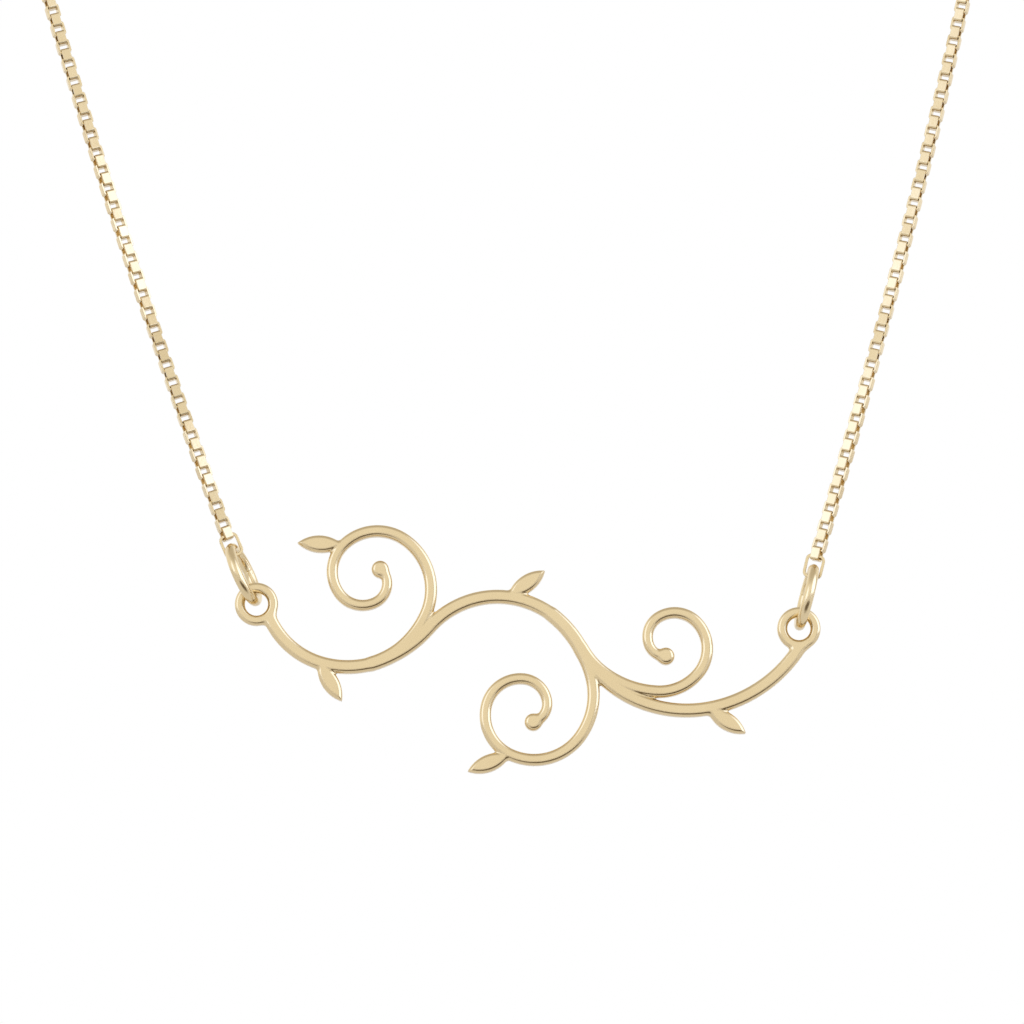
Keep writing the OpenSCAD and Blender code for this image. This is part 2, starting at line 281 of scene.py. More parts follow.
def turned(vectors, m):
    return vectors @ m[:3, :3].T


# Meshes


class Shape:
    """Points, normals, faces and one value a point that deepens the gold, as a random tone or as painted
    shade, gathered into one object.
    """

    def __init__(self):
        self.points, self.normals, self.faces, self.tones_and_shade = [], [], [], []
        self.count = 0

    def add(self, points, normals, faces, tone_and_shade=0.0):
        self.points.append(points)
        self.normals.append(normals)
        self.faces += [[k + self.count for k in face] for face in faces]
        self.tones_and_shade.append(np.broadcast_to(tone_and_shade, len(points)))
        self.count += len(points)

    def place(self, other, m, tone_and_shade=None):
        """Adds a copy of another shape, moved."""
        points = np.concatenate(other.points)
        tones_and_shade = np.concatenate(other.tones_and_shade) if tone_and_shade is None else tone_and_shade
        self.add(placed(points, m), turned(np.concatenate(other.normals), m), other.faces, tones_and_shade)

    def build(self, name, material):
        mesh = bpy.data.meshes.new(name)
        mesh.from_pydata((np.concatenate(self.points) * MM).tolist(), [], self.faces)
        normals = np.concatenate(self.normals)
        normals /= np.linalg.norm(normals, axis=1, keepdims=True)
        mesh.shade_smooth()
        mesh.normals_split_custom_set_from_vertices(normals.tolist())
        tone_and_shade = mesh.attributes.new("tone_and_shade", "FLOAT", "POINT")
        tone_and_shade.data.foreach_set("value", np.concatenate(self.tones_and_shade).astype(np.float32))
        mesh.materials.append(material)
        obj = bpy.data.objects.new(name, mesh)
        bpy.context.scene.collection.objects.link(obj)
        return obj


# Keeps a length from being nothing
SHORT = 1e-4


def grid_faces(rows, columns, closed_rows):
    """Quads over a grid of points. Rows run along the path, and columns run round the profile."""
    r = np.arange(rows if closed_rows else rows - 1)
    r, c = [a.ravel() for a in np.meshgrid(r, np.arange(columns), indexing="ij")]
    r1, c1 = (r + 1) % rows, (c + 1) % columns
    return np.stack([r * columns + c, r1 * columns + c, r1 * columns + c1, r * columns + c1], axis=1).tolist()


def differences(values, closed):
    """The change from the row before to the row after."""
    change = np.roll(values, -1, axis=0) - np.roll(values, 1, axis=0)
    if not closed:
        change[0], change[-1] = values[1] - values[0], values[-1] - values[-2]
    return change


def sweep_shape(path, out, across, profile, profile_normals, closed=True, scale=None):
    """A profile of (out, across) points swept along a path. The scale makes it thinner in places."""
    shape = Shape()
    scale = np.ones(len(path)) if scale is None else scale
    p = profile[None] * scale[:, None, None]
    points = path[:, None] + p[..., :1] * out[:, None] + p[..., 1:] * across[:, None]
    normals = profile_normals[None, :, :1] * out[:, None] + profile_normals[None, :, 1:] * across[:, None]
    along = differences(path, closed)
    length = np.linalg.norm(along, axis=1) + SHORT
    slope = differences(scale, closed) / length
    reach = np.linalg.norm(profile, axis=1)
    normals -= (slope[:, None] * reach)[..., None] * (along / length[:, None])[:, None]
    faces = grid_faces(len(path), len(profile), closed)
    shape.add(points.reshape(-1, 3), normals.reshape(-1, 3), faces)
    return shape


def round_profile(wire, sides):
    a = np.linspace(0, 2 * math.pi, sides, endpoint=False)
    unit = np.stack([np.cos(a), np.sin(a)], axis=1)
    return unit * wire / 2, unit


RING_STEPS = 128
WIRE_SIDES = 32
SEAM_DEPTH = 0.05
SEAM_ANGLE = 1.3
# Steps over a seam, in seam angles, and how far from its middle the ring's own steps begin
SEAM_STEPS = np.array([-3, -2, -1, -0.5, 0, 0.5, 1, 2, 3])
SEAM_CLEAR = 4.5
RING_SEAM_AT = 100
SMALL_SEAM_AT = 80


def ring_shape(r, wire, seam_at=None):
    """A closed ring about Z. A soldered seam pinches its wire a little."""
    a = np.linspace(0, 360, RING_STEPS, endpoint=False)
    scale = None
    if seam_at is not None:
        away = np.abs((a - seam_at + 180) % 360 - 180)
        over_seam = SEAM_STEPS * SEAM_ANGLE + seam_at
        a = np.sort(np.concatenate([a[away > SEAM_CLEAR * SEAM_ANGLE], over_seam]))
        scale = 1 - SEAM_DEPTH * np.exp(-(((a - seam_at) / SEAM_ANGLE) ** 2))
    out = np.stack([np.cos(a / DEG), np.sin(a / DEG), 0 * a], axis=1)
    across = np.tile([0.0, 0.0, 1.0], (len(a), 1))
    return sweep_shape(r * out, out, across, *round_profile(wire, WIRE_SIDES), scale=scale)


def lathe_shape(rows, sides):
    """A turned shape about Z from (z, radius) rows."""
    rows = np.array(rows)
    path = np.column_stack([0 * rows[:, 0], 0 * rows[:, 0], rows[:, 0]])
    out = np.tile([1.0, 0.0, 0.0], (len(rows), 1))
    across = np.tile([0.0, -1.0, 0.0], (len(rows), 1))
    return sweep_shape(path, out, across, *round_profile(2.0, sides), closed=False, scale=rows[:, 1])


# The spring ring. Angles run round it from +Z, past the thumb pin and the tongue that closes its gate
TUBE_FROM = 152
TUBE_TO = 464
TUBE_SIDES = 2 * WIRE_SIDES
TONGUE_FROM = 96
TONGUE_TO = 151
TONGUE_SHARE = 0.7
SLOT_FROM = 55
SLOT_TO = 92
SLOT_SIDE = 20
SLOT_DEPTH = 0.16
TUBE_STEP = 2
# Degrees from an end, and the wire's share of its full thickness there
TUBE_END = [(0.0, 0.01), (0.05, 0.86), (0.4, 0.95), (1.2, 1.0)]
TONGUE_TIP = [(0.0, 0.02), (0.5, 0.45), (1.5, 0.75), (3.0, 0.93), (5.0, 1.0)]
# How far under the thumb pin's top, and the share of its head's radius there. Its foot is inside the tube
THUMB_ROWS = [(0.48, 0.68), (0.42, 0.78), (0.34, 1), (0.16, 1), (0.08, 0.9), (0.02, 0.6), (0, 0.02)]
THUMB_FOOT = 0.2


def clasp_rays(angles):
    """Directions out from the clasp's middle, in the XZ plane from +Z towards +X."""
    a = angles / DEG
    return np.stack([np.sin(a), 0 * a, np.cos(a)], axis=1)


def arc_sweep(angles, scale, wire, sides):
    """A wire along part of the clasp's circle."""
    out = clasp_rays(angles)
    across = np.tile([0.0, 1.0, 0.0], (len(out), 1))
    return sweep_shape(CLASP_R * out, out, across, *round_profile(wire, sides), closed=False, scale=scale)


def tube_shape():
    """The clasp's tube, rounded where it ends at the gate, with a slot for the thumb pin."""
    middle = np.arange(TUBE_FROM + TUBE_STEP, TUBE_TO, TUBE_STEP)
    ends, rounding = np.array(TUBE_END).T
    angles = np.concatenate([TUBE_FROM + ends, middle, (TUBE_TO - ends)[::-1]])
    scale = np.concatenate([rounding, np.ones(len(middle)), rounding[::-1]])
    shape = arc_sweep(angles, scale, CLASP_WIRE, TUBE_SIDES)
    side_angle = np.linspace(0, 360, TUBE_SIDES, endpoint=False)
    side_angle = np.minimum(side_angle, 360 - side_angle)
    ramp = np.clip(np.minimum(angles - 360 - SLOT_FROM, SLOT_TO + 360 - angles) / TUBE_STEP, 0, 1)
    depth = (ramp[:, None] * (side_angle < SLOT_SIDE)[None]).ravel()
    out = np.repeat(clasp_rays(angles), TUBE_SIDES, axis=0)
    shape.points[0] = shape.points[0] - SLOT_DEPTH * depth[:, None] * out
    # The slot's floor is painted a deeper gold: painted shade in the recess
    shape.tones_and_shade[0] = depth
    return shape


def tongue_shape():
    tip, dome = np.array(TONGUE_TIP).T
    angles = np.concatenate([np.arange(TONGUE_FROM, TONGUE_TO - tip[-1], TUBE_STEP), (TONGUE_TO - tip)[::-1]])
    scale = np.concatenate([np.ones(len(angles) - len(tip)), dome[::-1]])
    return arc_sweep(angles, scale, CLASP_WIRE * TONGUE_SHARE, WIRE_SIDES)


def thumb_shape():
    """The thumb pin: a thin shank in the slot with a rounded head."""
    top = CLASP_R + CLASP_WIRE / 2 + THUMB_L
    r = THUMB_D / 2
    foot = (CLASP_R + THUMB_FOOT, THUMB_ROWS[0][1] * r)
    return lathe_shape([foot] + [(top - down, share * r) for down, share in THUMB_ROWS], WIRE_SIDES)


STRIP_BEVEL = 0.03
BOX_HOLE_R = 0.03
CORNER_STEPS = 4


def strip_profile(thick, wide, bevel):
    """The strip's section with its edges taken off. Flat sides keep flat normals."""
    h, w = thick / 2, wide / 2
    points = [
        (h, -w + bevel), (h, w - bevel), (h - bevel, w), (-h + bevel, w),
        (-h, w - bevel), (-h, -w + bevel), (-h + bevel, -w), (h - bevel, -w),
    ]
    normals = [(1, 0), (1, 0), (0, 1), (0, 1), (-1, 0), (-1, 0), (0, -1), (0, -1)]
    return np.array(points), np.array(normals, dtype=float)


def frame_shape(hole_w, hole_l, hole_r, thick, wide):
    """A link bent from strip, about its middle, its frame in the YZ plane."""
    r = hole_r + thick / 2
    hy, hz = hole_w / 2 - hole_r, hole_l / 2 - hole_r
    path, out = [], []
    for quarter, (cy, cz) in enumerate([(hy, hz), (-hy, hz), (-hy, -hz), (hy, -hz)]):
        for k in range(CORNER_STEPS + 1):
            a = (quarter + k / CORNER_STEPS) * math.pi / 2
            n = np.array([0, math.cos(a), math.sin(a)])
            out.append(n)
            path.append(np.array([0, cy, cz]) + r * n)
    across = np.tile([1.0, 0.0, 0.0], (len(path), 1))
    return sweep_shape(np.array(path), np.array(out), across, *strip_profile(thick, wide, STRIP_BEVEL))


# Shader nodes


def new_node(tree, kind, inputs, **settings):
    """Adds a node. An input is a number, a vector, a colour or another node's output."""
    node = tree.nodes.new(kind)
    for key, value in settings.items():
        setattr(node, key, value)
    for key, value in inputs.items():
        if isinstance(value, bpy.types.NodeSocket):
            tree.links.new(value, node.inputs[key])
        else:
            node.inputs[key].default_value = value
    return node


def ranged(tree, value, limits, steps="LINEAR"):
    """A value taken from one range to another. The limits are from low and high, then to low and high."""
    inputs = dict(zip(("From Min", "From Max", "To Min", "To Max"), limits))
    inputs["Value"] = value
    return new_node(tree, "ShaderNodeMapRange", inputs, interpolation_type=steps).outputs["Result"]


def mixed(tree, share, a, b):
    """Colour a, with a share of colour b."""
    inputs = {"Factor": share, "A": (*a, 1), "B": (*b, 1)}
    return new_node(tree, "ShaderNodeMix", inputs, data_type="RGBA").outputs["Result"]


def new_material(name):
    material = bpy.data.materials.new(name)
    material.use_nodes = True
    return material, material.node_tree, material.node_tree.nodes["Principled BSDF"]


# Gold. A noise is a scale per metre, a detail, and the two values between which it is used
DRIFT = (260, 2, 0.35, 0.65)
DRIFT_SHARE = 0.5
MARKS = (900, 3, 0.3, 0.7)
GRAIN_DETAIL = 4
GRAIN_DEPTH = 0.02


def gold(name, colour, deep, roughness, grain, bump, tone_and_shade_share):
    """Polished pale gold plating: a faint drift of colour, a fine satin grain and soft wear marks."""
    material, tree, shader = new_material(name)
    shader.inputs["Metallic"].default_value = 1.0
    place = tree.nodes.new("ShaderNodeTexCoord").outputs["Object"]

    def noise(scale, detail):
        inputs = {"Vector": place, "Scale": scale, "Detail": detail}
        return new_node(tree, "ShaderNodeTexNoise", inputs).outputs["Fac"]

    # The mesh's attribute deepens the gold: painted shade on the plate's rounded rims and in the clasp's
    # thumb slot, and a random tone a chain link
    tone_and_shade = new_node(tree, "ShaderNodeAttribute", {}, attribute_name="tone_and_shade").outputs["Fac"]
    drift = ranged(tree, noise(*DRIFT[:2]), (*DRIFT[2:], 0, DRIFT_SHARE))
    deeper = new_node(tree, "ShaderNodeMath", {0: drift, 1: ranged(tree, tone_and_shade, (0, 1, 0, tone_and_shade_share))})
    marks = ranged(tree, noise(*MARKS[:2]), (*MARKS[2:], *roughness))
    relief = {"Strength": bump, "Distance": GRAIN_DEPTH * MM, "Height": noise(grain, GRAIN_DETAIL)}
    tree.links.new(mixed(tree, deeper.outputs["Value"], colour, deep), shader.inputs["Base Color"])
    tree.links.new(marks, shader.inputs["Roughness"])
    tree.links.new(new_node(tree, "ShaderNodeBump", relief).outputs["Normal"], shader.inputs["Normal"])
    return material


PLATE_GOLD = gold(
    "plate_gold", (0.80, 0.645, 0.385), (0.76, 0.60, 0.345),
    roughness=(0.14, 0.22), grain=5200, bump=0.09, tone_and_shade_share=0.3,
)
RING_GOLD = gold(
    "ring_gold", (0.82, 0.665, 0.40), (0.76, 0.60, 0.34),
    roughness=(0.15, 0.22), grain=4000, bump=0.12, tone_and_shade_share=0.4,
)
CHAIN_GOLD = gold(
    "chain_gold", (0.83, 0.68, 0.42), (0.74, 0.58, 0.33),
    roughness=(0.12, 0.22), grain=6000, bump=0.2, tone_and_shade_share=0.5,
)
CLASP_GOLD = gold(
    "clasp_gold", (0.80, 0.645, 0.385), (0.74, 0.58, 0.33),
    roughness=(0.12, 0.20), grain=3000, bump=0.2, tone_and_shade_share=0.6,
)


def finish(obj, body, slot, *nodes):
    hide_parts(*nodes)
    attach(obj, body)


# The plate: its outline as distances, then a rounded face over it

TRACE_STEP = 3


def after_arc(pose, r, angle):
    side = 1 if angle > 0 else -1
    c = pose[:2] + side * r * ray(pose[2] + 90)
    p = c + side * r * ray(pose[2] + angle - 90)
    return np.array([p[0], p[1], pose[2] + angle])


def after_rows(pose, rows, n):
    for r, angle in rows[:n]:
        pose = after_arc(pose, r * PLATE_W, angle)
    return pose


def row_to(pose, target):
    chord = target - pose[:2]
    half = angle_of(chord) - pose[2]
    return (np.linalg.norm(chord) / (2 * math.sin(abs(half) / DEG)) / PLATE_W, 2 * half)


def traced(pose, rows, from_w, to_w):
    """Points along a stroke, and its half width at each."""
    points = [pose]
    for r, angle in rows:
        n = math.ceil(abs(angle) / TRACE_STEP)
        for _ in range(n):
            points.append(after_arc(points[-1], r * PLATE_W, angle / n))
    points = np.array(points)
    return points[:, :2], np.linspace(from_w, to_w, len(points)) / 2


STEM_START = np.array([*(EYE_R * ray(STEM_START_ANGLE)), STEM_HEADING])
STEM_TARGET = np.array([PLATE_W, 0]) + EYE_R * ray(STEM_END_ANGLE)
STEM_ROWS = STEM + [row_to(after_rows(STEM_START, STEM, len(STEM)), STEM_TARGET)]


def branch(pose, rows, n, kick):
    return after_rows(pose, rows, n) + np.array([0, 0, kick])


# Where each scroll starts, and its arcs
SCROLL_LINES = [(branch(STEM_START, STEM_ROWS, n, kick), rows) for rows, n, kick in SCROLLS]
STROKES = [traced(STEM_START, STEM_ROWS, STEM_W, STEM_W)]
STROKES += [traced(start, rows, SCROLL_W, TIP_W) for start, rows in SCROLL_LINES]
BEADS = [after_rows(start, rows, len(rows))[:2] for start, rows in SCROLL_LINES]
LEAVES = [branch(STEM_START, STEM_ROWS, n, kick) for n, kick in STEM_LEAVES]
LEAVES += [branch(*SCROLL_LINES[i], n, kick) for i, n, kick in SCROLL_LEAVES]
EYES = np.array([[0, 0], [PLATE_W, 0]])

# A distance from a stroke is measured up to REACH, for so many points at a time
REACH = 1.5
CHUNK = 300
FILLET = 0.22
EYE_FILLET = 0.3
EYE_BLEND = 0.8
EDGE_R = 0.3
EYE_EDGE_R = 0.26
EYE_FACE_T = 0.8


def smooth_min(a, b, k):
    h = np.maximum(k - np.abs(a - b), 0) / k
    return np.minimum(a, b) - h * h * k / 4


def stroke_field(p, points, half):
    """How far places are outside a stroke. Only the stretch near them is measured."""
    low, high = p.min(axis=0) - REACH, p.max(axis=0) + REACH
    close = ((points > low) & (points < high)).all(axis=1)
    close = close[:-1] | close[1:]
    if not close.any():
        return np.full(len(p), REACH)
    a, b = points[:-1][close], points[1:][close]
    half_a, half_b = half[:-1][close], half[1:][close]
    ab = b - a
    ap = p[:, None] - a[None]
    share = np.clip((ap * ab).sum(-1) / (ab * ab).sum(-1), 0, 1)
    d = np.linalg.norm(ap - share[..., None] * ab, axis=-1)
    return np.minimum((d - (half_a + share * (half_b - half_a))).min(axis=1), REACH)


def leaf_field(p, pose):
    r = (LEAF_L**2 + LEAF_W**2) / (4 * LEAF_W)
    ahead, beside = ray(pose[2]), ray(pose[2] + 90)
    field = [
        np.linalg.norm(p - (pose[:2] + ahead * LEAF_L / 2 + side * (r - LEAF_W / 2) * beside), axis=1) - r
        for side in (LEFT, RIGHT)
    ]
    return np.maximum(*field)


def plate_fields(p):
    """How far each point is outside the strokes and outside the eyes, negative inside."""
    field = stroke_field(p, *STROKES[0])
    for stroke in STROKES[1:]:
        field = smooth_min(field, stroke_field(p, *stroke), FILLET)
    for bead in BEADS:
        field = smooth_min(field, np.linalg.norm(p - bead, axis=1) - BEAD_D / 2, FILLET)
    for leaf in LEAVES:
        field = smooth_min(field, leaf_field(p, leaf), FILLET)
    to_eyes = np.linalg.norm(p[:, None] - EYES, axis=-1).min(axis=1)
    return np.maximum(field, EYE_R - to_eyes), np.abs(to_eyes - EYE_R) - EYE_WIRE / 2


def in_chunks(function, p):
    chunks = [function(p[i:i + CHUNK]) for i in range(0, len(p), CHUNK)]
    return [np.concatenate(part) for part in zip(*chunks)]


def plate_outline(p):
    return smooth_min(*in_chunks(plate_fields, p), EYE_FILLET)


def plate_surface(p):
    """The outline's distance, the face's height and the wall's. The eyes are thinner. All edges are round."""
    strokes, eyes = in_chunks(plate_fields, p)
    outline = smooth_min(strokes, eyes, EYE_FILLET)
    share = np.clip(0.5 + 0.5 * (eyes - strokes) / EYE_BLEND, 0, 1)
    share = share * share * (3 - 2 * share)
    r = EYE_EDGE_R + (EDGE_R - EYE_EDGE_R) * share
    eye_wall, stroke_wall = EYE_FACE_T / 2 - EYE_EDGE_R, PLATE_T / 2 - EDGE_R
    wall = eye_wall + (stroke_wall - eye_wall) * share
    into = np.clip(-outline, 0, r)
    return outline, wall + np.sqrt(r**2 - (r - into) ** 2), wall


# The grid over the plate, and the coarse cells that decide where it is worked out in full
GRID_LOW = np.array([-2.0, -16.0])
GRID_HIGH = np.array([PLATE_W + 2.0, 10.0])
GRID = 0.06
COARSE = 8
NEAR = 0.4
OUTLINE_STEP = 0.1
# Loops of points lie at these depths inside the outline, and a grid of points lies inside the last one
DEPTHS = [0, 0.01, 0.035, 0.075, 0.12, 0.17, 0.22, 0.27, 0.32, 0.38]
FACE_STEP = 0.2
FACE_SKIP = 3
WALL_MIN = 0.002
SLOPE_STEP = 0.002
SLOPE_MIN = 0.2
ON_RIM = 1e-4
# Keeps a level off the grid's own points
OFF_LEVEL = 1e-9
# The triangles are wanted over the whole hull, and points nearer than this are one
WHOLE_HULL = 0
SAME_POINT = 1e-7


def outline_grid():
    """The outline's distances on a grid, worked out in full only near the plate."""
    cell = GRID * COARSE
    n = np.ceil((GRID_HIGH - GRID_LOW) / cell).astype(int)
    coarse = GRID_LOW + np.stack(np.meshgrid(*[np.arange(k) for k in n], indexing="ij"), -1) * GRID * COARSE
    rough = plate_outline(coarse.reshape(-1, 2) + cell / 2).reshape(n)
    near = np.repeat(np.repeat(np.abs(rough) < cell + NEAR, COARSE, 0), COARSE, 1)
    field = np.repeat(np.repeat(rough, COARSE, 0), COARSE, 1)
    field[near] = plate_outline(GRID_LOW + np.argwhere(near) * GRID)
    return field


def contours(field, level):
    """Closed loops where the field has a level, as lists of points."""
    f = field - level + OFF_LEVEL
    inside = f < 0
    links = {}

    def crossing(i, j, axis):
        a, b = f[i, j], f[i + (axis == 0), j + (axis == 1)]
        share = a / (a - b)
        return np.array([i + share * (axis == 0), j + share * (axis == 1)])

    corners = inside[:-1, :-1] + 2 * inside[1:, :-1] + 4 * inside[1:, 1:] + 8 * inside[:-1, 1:]
    # A cell's four edges: the grid point where each one starts, and its axis
    edges = [(0, 0, 0), (1, 0, 1), (0, 1, 0), (0, 0, 1)]
    # From which edge to which a loop runs, by the corners that are inside
    turns = {
        1: [(3, 0)], 2: [(0, 1)], 3: [(3, 1)], 4: [(1, 2)], 5: [(3, 0), (1, 2)],
        6: [(0, 2)], 7: [(3, 2)], 8: [(2, 3)], 9: [(2, 0)], 10: [(0, 1), (2, 3)],
        11: [(2, 1)], 12: [(1, 3)], 13: [(1, 0)], 14: [(0, 3)],
    }
    for i, j in np.argwhere((corners > 0) & (corners < 15)):
        for a, b in turns[int(corners[i, j])]:
            ends = [(int(i) + edges[e][0], int(j) + edges[e][1], edges[e][2]) for e in (a, b)]
            links[ends[0]] = ends[1]
    loops = []
    while links:
        key, following = links.popitem()
        loop = [key]
        while following != loop[0]:
            loop.append(following)
            following = links.pop(following)
        loops.append(GRID_LOW + np.array([crossing(*k) for k in loop]) * GRID)
    return loops


def spaced(loop, step):
    """A closed loop's points at even steps."""
    ring = np.vstack([loop, loop[:1]])
    along = np.concatenate([[0], np.cumsum(np.linalg.norm(np.diff(ring, axis=0), axis=1))])
    n = max(6, round(along[-1] / step))
    at = np.linspace(0, along[-1], n, endpoint=False)
    return np.stack([np.interp(at, along, ring[:, k]) for k in (0, 1)], axis=1)


def slopes(p, value):
    """The two slopes of a function of places."""
    steps = SLOPE_STEP * np.eye(2)
    return np.stack([(value(p + step) - value(p - step)) / (2 * SLOPE_STEP) for step in steps], axis=1)


def settled(p, level):
    """Points moved onto a level of the outline."""
    slope = slopes(p, plate_outline)
    miss = plate_outline(p) - level
    return p - slope * (miss / np.maximum((slope**2).sum(axis=1), SLOPE_MIN))[:, None]


def flat_face():
    """The face as a flat mesh: its points and triangles, and the rim's edges."""
    field = outline_grid()
    points, edges = [], []
    count = rim = 0
    for depth in DEPTHS:
        for loop in contours(field, -depth):
            if len(loop) * GRID < 4 * OUTLINE_STEP:
                continue
            loop = spaced(loop, OUTLINE_STEP)
            points.append(settled(loop, -depth))
            edges += [(count + i, count + (i + 1) % len(loop)) for i in range(len(loop))]
            count += len(loop)
        if depth == 0:
            rim = count
    deep = field[::FACE_SKIP, ::FACE_SKIP] < -DEPTHS[-1] - FACE_STEP / 2
    points.append(GRID_LOW + np.argwhere(deep) * FACE_SKIP * GRID)
    places = [Vector(p) for p in np.concatenate(points).tolist()]
    flat, _, faces, origin, _, _ = delaunay_2d_cdt(places, edges, [], WHOLE_HULL, SAME_POINT, True)
    flat = np.array([tuple(v) for v in flat])
    faces = np.array(faces)
    faces = faces[plate_outline(flat[faces].mean(axis=1)) < 0]
    used = {k for row in faces.tolist() for k in row}
    where = {j: i for i, group in enumerate(origin) for j in group}
    rim_edges = [(where[a], where[b]) for a, b in edges[:rim]]
    return flat, faces, [(a, b) for a, b in rim_edges if a in used and b in used]


def plate_shape():
    """Front, back and the wall between them, which share the rim."""
    flat, faces, rim_edges = flat_face()
    outline, height, wall = plate_surface(flat)
    on_rim = np.abs(outline) < ON_RIM
    normals = np.column_stack([-slopes(flat, lambda p: plate_surface(p)[1]), np.ones(len(flat))])
    normals[on_rim] = np.column_stack([slopes(flat[on_rim], plate_outline), np.zeros(on_rim.sum())])
    height = np.where(on_rim, np.maximum(wall, WALL_MIN), height)

    # The gold is painted a little deeper towards the rims: painted shade on the rounded edges
    tone_and_shade = np.clip(1 + outline / EDGE_R, 0, 1)
    shape = Shape()
    for face in (1, -1):
        tops = np.column_stack([flat, face * height])
        turned_normals = np.column_stack([normals[:, :2], face * normals[:, 2]])
        shape.add(tops, turned_normals, faces if face == 1 else faces[:, ::-1], tone_and_shade)
    back = len(flat)
    shape.faces += [(a, b, b + back, a + back) for a, b in rim_edges]
    return shape


def piece(name, material, *parts):
    """One object made of shapes, each with its place."""
    whole = Shape()
    for shape, m in parts:
        whole.place(shape, m)
    return whole.build(name, material)


plate_place = shift(*in_space(eye_place(LEFT))) @ turn("Y", PLATE_TILT) @ turn("X", 90)
plate = piece("flourish_plate", PLATE_GOLD, (plate_shape(), plate_place))
finish(plate, "nameplate", "plate", "nameplate")

# Rings and end links

jump_ring = ring_shape(RING_R, RING_WIRE, seam_at=RING_SEAM_AT)
end_link = frame_shape(LINK_HOLE_W, LINK_HOLE_L, LINK_HOLE_R, LINK_T, LINK_W)
for side, word in ((LEFT, "left"), (RIGHT, "right")):
    ring_place = up_from_eye(side, RING_SEAT + RING_R) @ turn("Z", RING_TURN[side]) @ turn("Y", 90)
    ring = piece(f"{word}_ring", RING_GOLD, (jump_ring, ring_place))
    finish(ring, "necklace", "rings", f"{word}_jump_ring")

    foot = up_from_eye(side, RING_TOP - RING_WIRE / 2 - LINK_GAP) @ turn("Z", 90 - side * LINK_TURN)
    link = piece(f"{word}_lower_link", RING_GOLD, (end_link, foot @ shift(0, 0, LINK_HOLE_L / 2)))
    finish(link, "necklace", "rings", f"{word}_end_link")

    foot = beside_clasp(side, TOP_WIRE_AT[side] - SMALL_WIRE / 2 - LINK_GAP) @ turn("Z", 90)
    link = piece(f"{word}_upper_link", RING_GOLD, (end_link, foot @ shift(0, 0, LINK_HOLE_L / 2)))
    finish(link, "necklace", "rings", f"{word}_top_link")

# Box chains

CHAIN_SEED = 7
LINK_JITTER = 1.4

rng = np.random.default_rng(CHAIN_SEED)
box_link = frame_shape(CHAIN_SIDE - 2 * STRIP_T, BOX_LINK_L - 2 * STRIP_T, BOX_HOLE_R, STRIP_T, STRIP_W)
for side, word in ((LEFT, "left"), (RIGHT, "right")):
    way = Side(side)
    span = way.chain_l - BOX_LINK_L + STRIP_T
    steps = 2 * round(span / CHAIN_PITCH / 2)
    chain = Shape()
    for i in range(steps + 1):
        at = i * span / steps + (BOX_LINK_L - STRIP_T) / 2
        if i == 0:
            m = up_from_eye(side, CHAIN_START + at) @ turn("Z", way.roll(0))
        else:
            m = on_sheet(*way.route(at)) @ turn("Z", way.roll(at))
        jitter = rng.normal(0, LINK_JITTER)
        tone_and_shade = rng.uniform(0, 1)
        chain.place(box_link, m @ turn("Z", 90 * (i % 2) + jitter), tone_and_shade=tone_and_shade)
    finish(chain.build(f"{word}_box_chain", CHAIN_GOLD), "necklace", "chain", f"{word}_chain")

# Clasp, its loop and the ring that it holds

small_loop = ring_shape(LOOP_R, SMALL_WIRE, seam_at=SMALL_SEAM_AT)
loop_place = beside_clasp(LEFT, LOOP_NEAR + LOOP_R) @ turn("Y", 90)
loop = piece("clasp_side_loop", RING_GOLD, (small_loop, loop_place))
finish(loop, "necklace", "rings", "clasp_loop")

clasp_place = beside_clasp(LEFT, 0)
clasp = piece(
    "spring_ring", CLASP_GOLD,
    (tube_shape(), clasp_place),
    (tongue_shape(), clasp_place),
    (thumb_shape(), clasp_place @ turn("Y", THUMB_ANGLE)),
    (ring_shape(CLASP_EYE_R, CLASP_EYE_WIRE), beside_clasp(LEFT, CLASP_EYE_AT) @ turn("X", 90)),
)
finish(clasp, "necklace", "clasp", "clasp")

end_ring = ring_shape(END_RING_R, SMALL_WIRE, seam_at=SMALL_SEAM_AT)
held_place = beside_clasp(RIGHT, END_RING_NEAR + END_RING_R) @ turn("Y", 90)
held = piece("held_ring", RING_GOLD, (end_ring, held_place))
finish(held, "necklace", "rings", "end_ring")

# Camera, floor and light

IMAGE_MIDDLE = (2.82, -116.37)
PLATE_Y = -96.31
FRAME_W = 71.1
CAMERA_FAR = 450
CLIP_START = 10
SENSOR = 36
# The photographed piece is seen from a little below
CAMERA_DROP = 8.5

camera_data = bpy.data.cameras.new("camera")
camera_data.sensor_width = SENSOR
camera_data.lens = SENSOR * CAMERA_FAR / FRAME_W
camera_data.clip_start = CLIP_START * MM
camera = bpy.data.objects.new("camera", camera_data)
camera.location = (
    IMAGE_MIDDLE[0] * MM,
    (PLATE_Y - CAMERA_FAR * math.cos(CAMERA_DROP / DEG)) * MM,
    (IMAGE_MIDDLE[1] - CAMERA_FAR * math.sin(CAMERA_DROP / DEG)) * MM,
)
camera.rotation_euler = (math.pi / 2 + CAMERA_DROP / DEG, 0, 0)
bpy.context.scene.collection.objects.link(camera)
bpy.context.scene.camera = camera

bpy.context.scene.view_settings.view_transform = "Standard"

# The light by the direction it comes from: a white surround with two tall cool soft boxes, two darker gaps,
# and less light from above. A row is azimuth from the front towards +X, half width, softness and the colour
# that is added
SOFT_BOXES = [
    (-44, 12, 11, (0.42, 0.57, 1.00)),
    (22, 3, 7, (-0.38, -0.38, -0.40)),
    (66, 30, 9, (0.65, 0.85, 1.45)),
    (112, 6, 14, (-0.38, -0.42, -0.48)),
]
TALL = 0.45
WHITE = (1, 1, 1)
SKY_FROM, SKY_TO = 0.5, 0.95
SKY = (0.62, 0.59, 0.55)


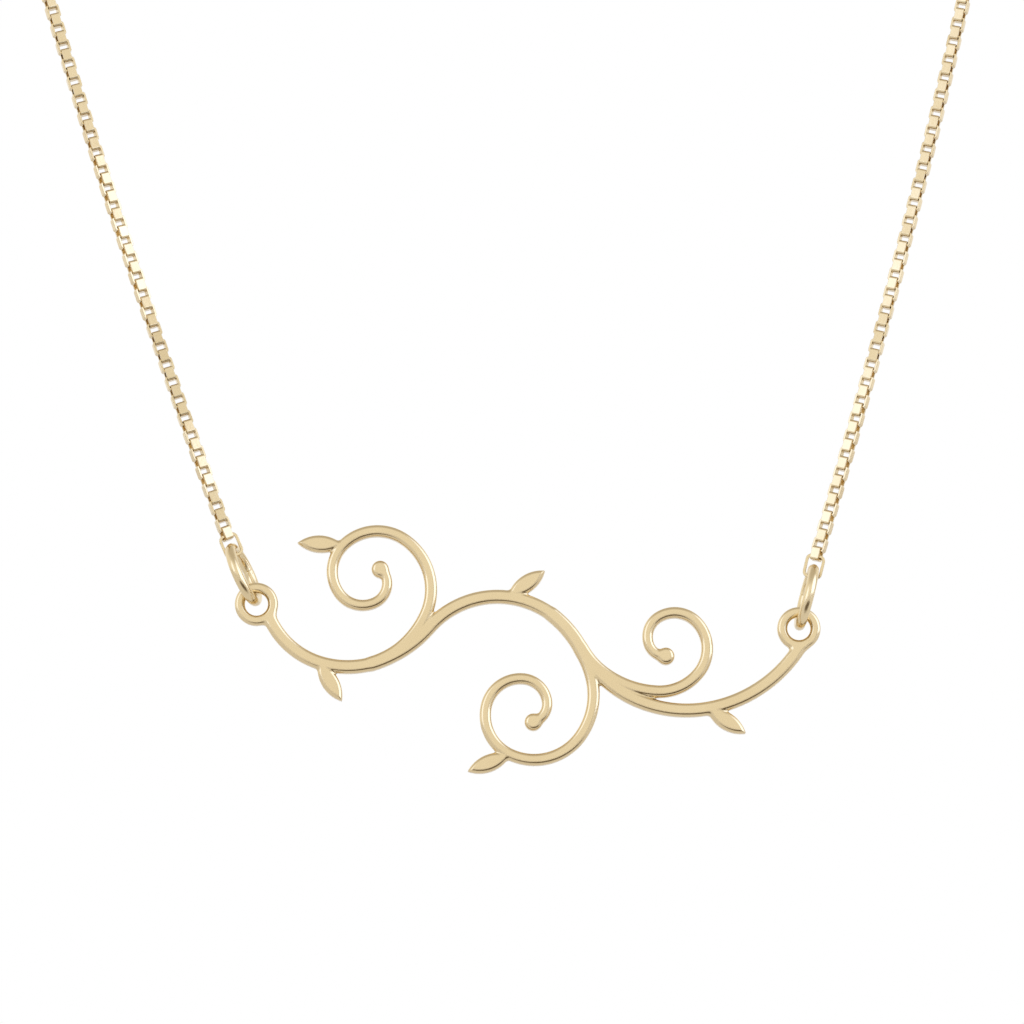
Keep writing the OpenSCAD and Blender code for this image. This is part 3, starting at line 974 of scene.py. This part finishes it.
def studio_world():
    world = bpy.data.worlds.new("studio")
    world.use_nodes = True
    tree = world.node_tree
    place = tree.nodes.new("ShaderNodeTexCoord").outputs["Generated"]

    def vector(operation, *values):
        node = new_node(tree, "ShaderNodeVectorMath", dict(enumerate(values)), operation=operation)
        return node.outputs["Value" if operation == "DOT_PRODUCT" else "Vector"]

    squat = vector("NORMALIZE", vector("MULTIPLY", place, (1, 1, TALL)))
    height = vector("DOT_PRODUCT", place, (0, 0, 1))
    total = WHITE
    for azimuth, half, soft, colour in SOFT_BOXES:
        aim = (math.sin(azimuth / DEG), -math.cos(azimuth / DEG), 0)
        edge = (math.cos((half + soft) / DEG), math.cos(half / DEG), 0, 1)
        box = ranged(tree, vector("DOT_PRODUCT", squat, aim), edge, "SMOOTHSTEP")
        total = vector("ADD", vector("MULTIPLY", box, colour), total)
    sky = mixed(tree, ranged(tree, height, (SKY_FROM, SKY_TO, 0, 1), "SMOOTHSTEP"), WHITE, SKY)
    tree.links.new(vector("MULTIPLY", total, sky), tree.nodes["Background"].inputs["Color"])
    return world


bpy.context.scene.world = studio_world()

FLOOR_Z = -260
FLOOR_SPAN = (-4000, 4000)
FLOOR_COLOUR = (0.90, 0.89, 0.87)
FLOOR_ROUGHNESS = 0.7
# A dark soft-edged card lies in front of the piece, as jewellery is lit: it is the thin dark line under
# polished edges. Only reflections show it
CARD_X = (-140, 300)
CARD_Y = (-460, -130)
CARD_RISE = 1
CARD_COLOUR = (0.13, 0.09, 0.04)
CARD_CORE = 0.5


def backdrop(name, xs, ys, z):
    mesh = bpy.data.meshes.new(name)
    corners = [(xs[0], ys[0]), (xs[1], ys[0]), (xs[1], ys[1]), (xs[0], ys[1])]
    mesh.from_pydata([(x * MM, y * MM, z * MM) for x, y in corners], [], [(0, 1, 2, 3)])
    material, tree, shader = new_material(name)
    shader.inputs["Base Color"].default_value = (*FLOOR_COLOUR, 1)
    shader.inputs["Roughness"].default_value = FLOOR_ROUGHNESS
    mesh.materials.append(material)
    obj = bpy.data.objects.new(name, mesh)
    bpy.context.scene.collection.objects.link(obj)
    return obj, tree, shader


def dark_card():
    card, tree, shader = backdrop("dark_card", CARD_X, CARD_Y, FLOOR_Z + CARD_RISE)
    card.visible_camera = False
    card.visible_diffuse = False
    card.visible_shadow = False
    # The card's corners run from -1 to 1 round its middle, and its colour fades out from there
    place = tree.nodes.new("ShaderNodeTexCoord").outputs["Generated"]
    moved = {"Vector": place, "Location": (-1, -1, 0), "Scale": (2, 2, 0)}
    centred = new_node(tree, "ShaderNodeMapping", moved).outputs["Vector"]
    fade = new_node(tree, "ShaderNodeTexGradient", {"Vector": centred}, gradient_type="SPHERICAL")
    share = ranged(tree, fade.outputs["Fac"], (0, CARD_CORE, 0, 1), "SMOOTHSTEP")
    tree.links.new(mixed(tree, share, FLOOR_COLOUR, CARD_COLOUR), shader.inputs["Base Color"])


backdrop("floor", FLOOR_SPAN, FLOOR_SPAN, FLOOR_Z)
dark_card()
